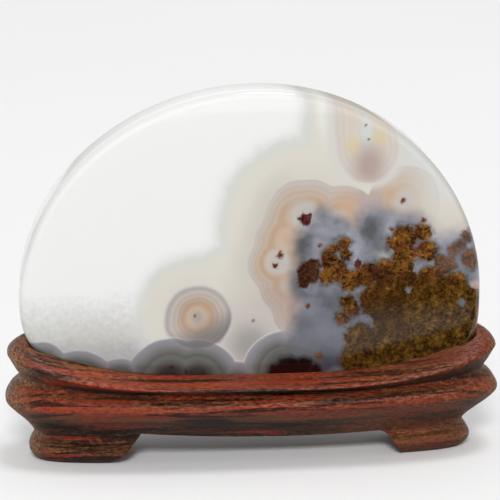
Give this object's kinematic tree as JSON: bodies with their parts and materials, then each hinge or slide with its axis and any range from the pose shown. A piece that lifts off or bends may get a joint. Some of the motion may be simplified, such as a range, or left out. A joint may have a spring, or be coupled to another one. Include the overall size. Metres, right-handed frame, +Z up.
{
  "type": "agate viewing stone on a carved wooden stand",
  "caption": "Polished oval agate slab standing on edge in the slot of a carved dark hardwood display stand with low feet.",
  "frame": {"origin": "on the surface that the stand rests on, under the middle of the whole object", "axes": "+X along the slab's length, +Z up, -Y towards the side shown in the picture"},
  "size_m": [0.1248, 0.0324, 0.0947],
  "materials": {
    "agate": "polished, banded, partly translucent chalcedony with rust-brown moss inclusions",
    "rosewood": "satin oiled dark red hardwood with fine golden pore streaks"
  },
  "bodies": {
    "root": {"agate_stone": "agate", "wooden_stand": "rosewood"}
  },
  "joints": []
}
